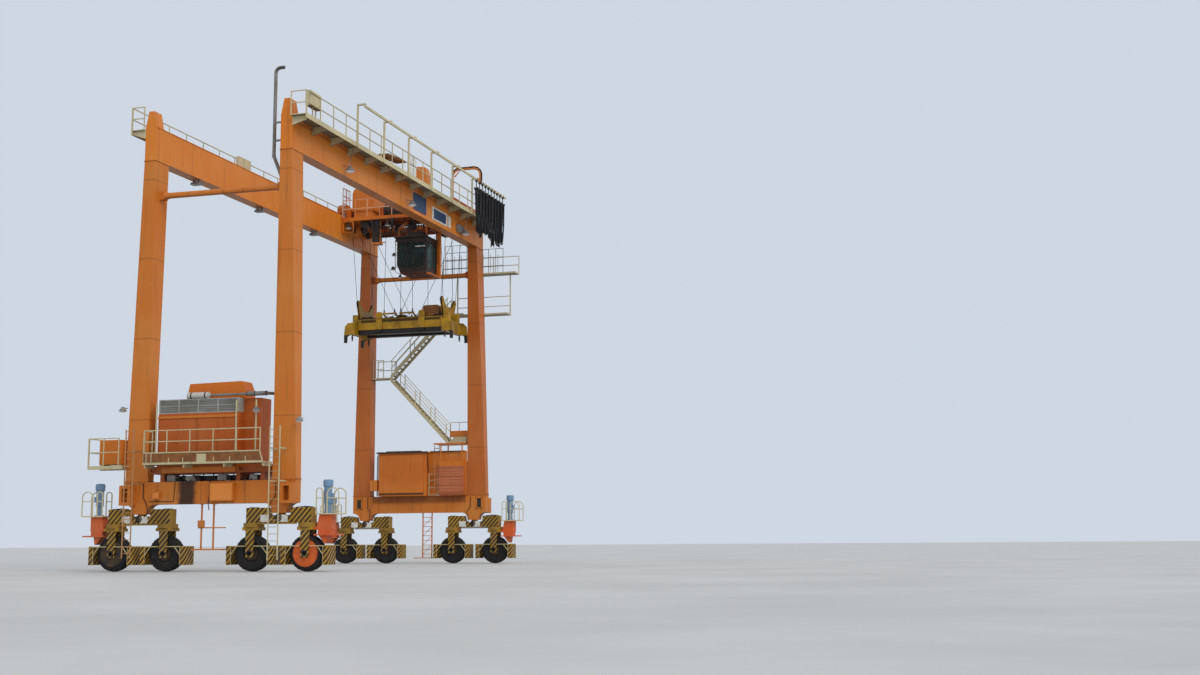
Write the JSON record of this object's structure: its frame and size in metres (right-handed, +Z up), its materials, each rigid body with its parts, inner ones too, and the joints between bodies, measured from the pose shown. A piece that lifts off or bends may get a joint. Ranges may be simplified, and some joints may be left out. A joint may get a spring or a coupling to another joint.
{
  "type": "rubber tyred gantry crane",
  "caption": "Container yard crane: portal frame on steerable rubber-tyred bogies, with a travelling trolley, cab and telescopic spreader.",
  "frame": {"origin": "middle of the footprint at ground level", "axes": "+Z up, +X along the gantry travel, +Y along the span towards the parked trolley"},
  "size_m": [12.8, 25.46, 22.9999],
  "materials": {
    "orange_paint": "weathered gloss paint",
    "cream_paint": "weathered gloss paint",
    "drive_paint": "weathered gloss paint",
    "hazard_paint": "yellow and black striped paint",
    "yellow_paint": "worn gloss paint",
    "tyre_rubber": "dusty rubber",
    "grey_metal": "grey paint",
    "dark_steel": "greasy dark paint",
    "cab_paint": "dark frames",
    "glass": "tinted glass",
    "rope_steel": "greased wire rope",
    "cable_rubber": "black cable"
  },
  "bodies": {
    "portal": {"leg_a": "orange_paint", "leg_b": "orange_paint", "leg_c": "orange_paint", "leg_d": "orange_paint", "girder_left": "orange_paint", "girder_right": "orange_paint", "sill_near": "orange_paint", "sill_far": "orange_paint", "cross_ties": "orange_paint", "walkway_left": "cream_paint", "walkway_right": "cream_paint", "festoon_track": "cream_paint", "festoon_cables": "cable_rubber", "engine_house": "orange_paint", "radiator_band": "grey_metal", "exhaust_stack": "grey_metal", "engine_walkway": "cream_paint", "access_ladders": "cream_paint", "service_cradle": "orange_paint", "electric_house": "orange_paint", "control_cabinet": "orange_paint", "far_stair": "cream_paint", "floodlights": "grey_metal"},
    "trolley": {"trolley_frame": "orange_paint", "trolley_wheels": "dark_steel", "hoist_machinery": "dark_steel", "machinery_hood": "orange_paint", "operator_cab": "cab_paint", "cab_glass": "glass", "festoon_arm": "orange_paint", "hoist_ropes": "rope_steel"},
    "spreader": {"spreader_frame": "yellow_paint", "sheave_towers": "yellow_paint"},
    "extension_left": {"extension_left": "yellow_paint"},
    "extension_right": {"extension_right": "yellow_paint"},
    "bogie_a": {"bogie_a": "hazard_paint"},
    "fork_a_inner": {"fork_a_inner": "hazard_paint"},
    "wheel_a_inner": {"wheel_a_inner": "tyre_rubber"},
    "fork_a_outer": {"fork_a_outer": "hazard_paint", "drive_a": "drive_paint"},
    "wheel_a_outer": {"wheel_a_outer": "tyre_rubber"},
    "bogie_b": {"bogie_b": "hazard_paint"},
    "fork_b_inner": {"fork_b_inner": "hazard_paint"},
    "wheel_b_inner": {"wheel_b_inner": "tyre_rubber"},
    "fork_b_outer": {"fork_b_outer": "hazard_paint", "drive_b": "drive_paint"},
    "wheel_b_outer": {"wheel_b_outer": "tyre_rubber"},
    "bogie_c": {"bogie_c": "hazard_paint"},
    "fork_c_inner": {"fork_c_inner": "hazard_paint"},
    "wheel_c_inner": {"wheel_c_inner": "tyre_rubber"},
    "fork_c_outer": {"fork_c_outer": "hazard_paint", "drive_c": "drive_paint"},
    "wheel_c_outer": {"wheel_c_outer": "tyre_rubber"},
    "bogie_d": {"bogie_d": "hazard_paint"},
    "fork_d_inner": {"fork_d_inner": "hazard_paint"},
    "wheel_d_inner": {"wheel_d_inner": "tyre_rubber"},
    "fork_d_outer": {"fork_d_outer": "hazard_paint", "drive_d": "drive_paint"},
    "wheel_d_outer": {"wheel_d_outer": "tyre_rubber"}
  },
  "joints": [
    {"name": "trolley_travel", "type": "slide", "parent": "portal", "child": "trolley", "axis": [0, 1, 0], "range_m": [-17, 0.1]},
    {"name": "hoist", "type": "slide", "parent": "trolley", "child": "spreader", "axis": [0, 0, 1], "range_m": [-12.6, 1.2], "deforming": ["hoist_ropes"]},
    {"name": "telescope_left", "type": "slide", "parent": "spreader", "child": "extension_left", "axis": [-1, 0, 0], "range_m": [0, 3.05]},
    {"name": "telescope_right", "type": "slide", "parent": "spreader", "child": "extension_right", "axis": [1, 0, 0], "range_m": [0, 3.05]},
    {"name": "rock_a", "type": "hinge", "parent": "portal", "child": "bogie_a", "pos_m": [-3.475, -11.735, 2.33], "axis": [0, 1, 0], "range_deg": [-4, 4]},
    {"name": "steer_a_inner", "type": "hinge", "parent": "bogie_a", "child": "fork_a_inner", "pos_m": [-2.15, -11.735, 1.93], "axis": [0, 0, 1], "range_deg": [0, 90]},
    {"name": "roll_a_inner", "type": "hinge", "parent": "fork_a_inner", "child": "wheel_a_inner", "pos_m": [-2.15, -11.735, 0.8], "axis": [0, 1, 0], "continuous": true},
    {"name": "steer_a_outer", "type": "hinge", "parent": "bogie_a", "child": "fork_a_outer", "pos_m": [-4.8, -11.735, 1.93], "axis": [0, 0, 1], "range_deg": [0, 90]},
    {"name": "roll_a_outer", "type": "hinge", "parent": "fork_a_outer", "child": "wheel_a_outer", "pos_m": [-4.8, -11.735, 0.8], "axis": [0, 1, 0], "continuous": true},
    {"name": "rock_b", "type": "hinge", "parent": "portal", "child": "bogie_b", "pos_m": [3.475, -11.735, 2.33], "axis": [0, 1, 0], "range_deg": [-4, 4]},
    {"name": "steer_b_inner", "type": "hinge", "parent": "bogie_b", "child": "fork_b_inner", "pos_m": [2.15, -11.735, 1.93], "axis": [0, 0, 1], "range_deg": [-90, 0]},
    {"name": "roll_b_inner", "type": "hinge", "parent": "fork_b_inner", "child": "wheel_b_inner", "pos_m": [2.15, -11.735, 0.8], "axis": [0, 1, 0], "continuous": true},
    {"name": "steer_b_outer", "type": "hinge", "parent": "bogie_b", "child": "fork_b_outer", "pos_m": [4.8, -11.735, 1.93], "axis": [0, 0, 1], "range_deg": [-90, 0]},
    {"name": "roll_b_outer", "type": "hinge", "parent": "fork_b_outer", "child": "wheel_b_outer", "pos_m": [4.8, -11.735, 0.8], "axis": [0, 1, 0], "continuous": true},
    {"name": "rock_c", "type": "hinge", "parent": "portal", "child": "bogie_c", "pos_m": [-3.475, 11.735, 2.33], "axis": [0, 1, 0], "range_deg": [-4, 4]},
    {"name": "steer_c_inner", "type": "hinge", "parent": "bogie_c", "child": "fork_c_inner", "pos_m": [-2.15, 11.735, 1.93], "axis": [0, 0, 1], "range_deg": [-90, 0]},
    {"name": "roll_c_inner", "type": "hinge", "parent": "fork_c_inner", "child": "wheel_c_inner", "pos_m": [-2.15, 11.735, 0.8], "axis": [0, 1, 0], "continuous": true},
    {"name": "steer_c_outer", "type": "hinge", "parent": "bogie_c", "child": "fork_c_outer", "pos_m": [-4.8, 11.735, 1.93], "axis": [0, 0, 1], "range_deg": [-90, 0]},
    {"name": "roll_c_outer", "type": "hinge", "parent": "fork_c_outer", "child": "wheel_c_outer", "pos_m": [-4.8, 11.735, 0.8], "axis": [0, 1, 0], "continuous": true},
    {"name": "rock_d", "type": "hinge", "parent": "portal", "child": "bogie_d", "pos_m": [3.475, 11.735, 2.33], "axis": [0, 1, 0], "range_deg": [-4, 4]},
    {"name": "steer_d_inner", "type": "hinge", "parent": "bogie_d", "child": "fork_d_inner", "pos_m": [2.15, 11.735, 1.93], "axis": [0, 0, 1], "range_deg": [0, 90]},
    {"name": "roll_d_inner", "type": "hinge", "parent": "fork_d_inner", "child": "wheel_d_inner", "pos_m": [2.15, 11.735, 0.8], "axis": [0, 1, 0], "continuous": true},
    {"name": "steer_d_outer", "type": "hinge", "parent": "bogie_d", "child": "fork_d_outer", "pos_m": [4.8, 11.735, 1.93], "axis": [0, 0, 1], "range_deg": [0, 90]},
    {"name": "roll_d_outer", "type": "hinge", "parent": "fork_d_outer", "child": "wheel_d_outer", "pos_m": [4.8, 11.735, 0.8], "axis": [0, 1, 0], "continuous": true}
  ],
  "couplings": [
    {"joint": "telescope_right", "follows": "telescope_left", "ratio": 1},
    {"joint": "steer_a_inner", "follows": "steer_b_outer", "ratio": -1},
    {"joint": "steer_a_outer", "follows": "steer_b_outer", "ratio": -1},
    {"joint": "steer_b_inner", "follows": "steer_b_outer", "ratio": 1},
    {"joint": "steer_c_inner", "follows": "steer_b_outer", "ratio": 1},
    {"joint": "steer_c_outer", "follows": "steer_b_outer", "ratio": 1},
    {"joint": "steer_d_inner", "follows": "steer_b_outer", "ratio": -1},
    {"joint": "steer_d_outer", "follows": "steer_b_outer", "ratio": -1}
  ]
}
